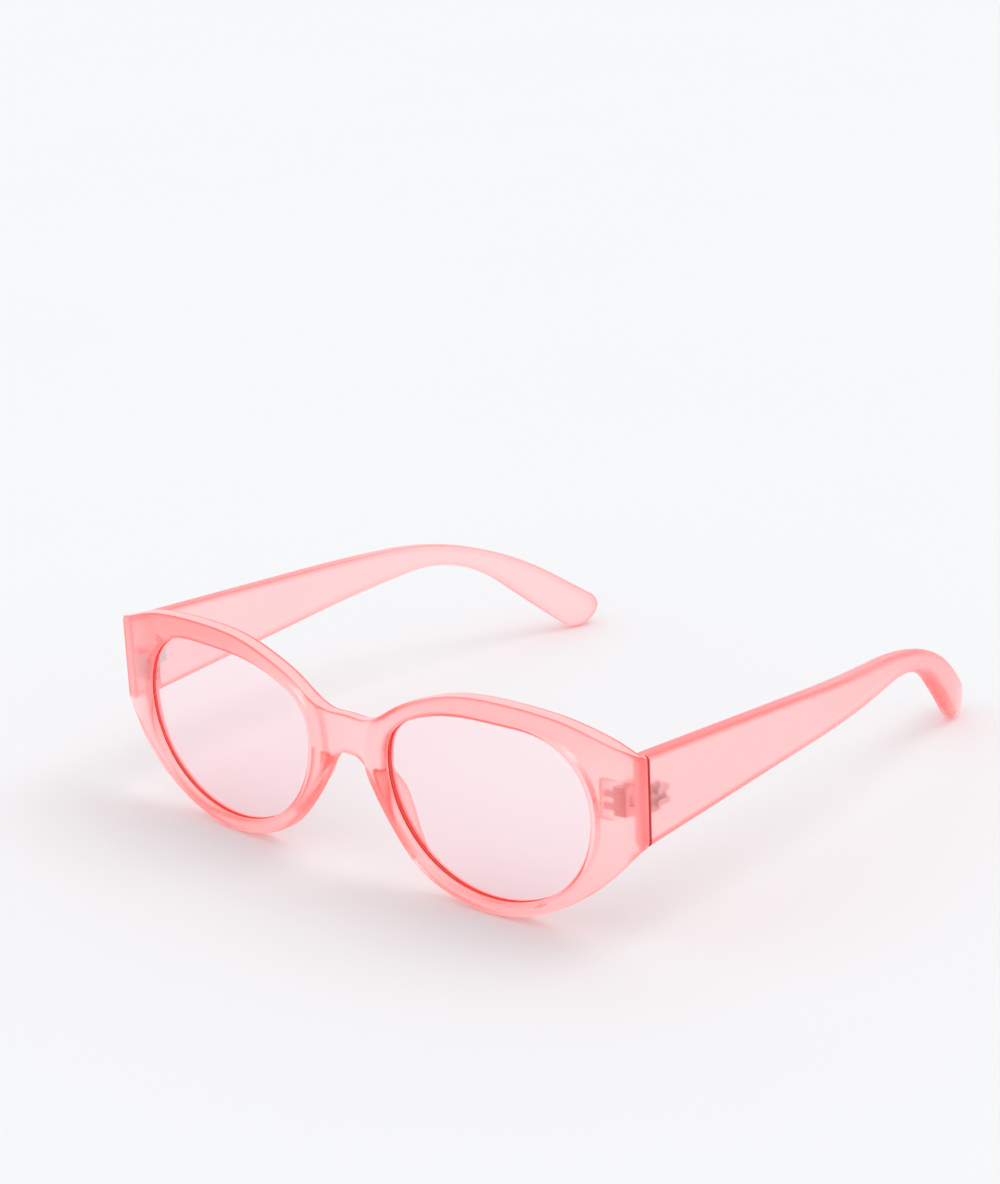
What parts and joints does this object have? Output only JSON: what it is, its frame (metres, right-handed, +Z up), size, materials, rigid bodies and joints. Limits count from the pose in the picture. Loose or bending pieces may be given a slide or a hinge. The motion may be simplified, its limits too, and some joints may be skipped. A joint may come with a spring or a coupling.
{
  "type": "cat eye sunglasses",
  "caption": "Cat eye sunglasses with thick oval rims, tinted lenses, wide tapering temples that fold on hinges, and curved ear tips.",
  "frame": {"origin": "on the table under the middle of the open sunglasses' box", "axes": "+Y from the front of the rims towards the temple tips, +Z up, +X to the side of lens_right and temple_right; the Y-Z plane is the mirror plane"},
  "size_m": [0.1394, 0.1388, 0.0439],
  "materials": {
    "frosted_frame": "frosted translucent moulded plastic, pale coral pink",
    "frosted_pads": "frosted translucent moulded plastic, pale coral pink",
    "frosted_temples": "frosted translucent moulded plastic, pale coral pink",
    "tinted_lens": "clear pale pink plastic, polished",
    "hinge_metal": "plain nickel silver, satin",
    "screw_metal": "stainless steel, satin"
  },
  "bodies": {
    "front": {"front_frame": "frosted_frame", "lens_left": "tinted_lens", "lens_right": "tinted_lens", "nose_pad_left": "frosted_pads", "nose_pad_right": "frosted_pads", "front_hinge_leaf_left": "hinge_metal", "front_hinge_leaf_right": "hinge_metal", "hinge_screw_left": "screw_metal", "hinge_screw_right": "screw_metal"},
    "temple_left": {"temple_left": "frosted_temples", "temple_hinge_leaf_left": "hinge_metal"},
    "temple_right": {"temple_right": "frosted_temples", "temple_hinge_leaf_right": "hinge_metal"}
  },
  "joints": [
    {"name": "temple_left_fold", "type": "hinge", "parent": "front", "child": "temple_left", "pos_m": [-0.0639, -0.05936, 0.0285], "axis": [0, 0, -1], "range_deg": [0, 84]},
    {"name": "temple_right_fold", "type": "hinge", "parent": "front", "child": "temple_right", "pos_m": [0.0639, -0.05936, 0.0285], "axis": [0, 0, 1], "range_deg": [0, 71]}
  ]
}
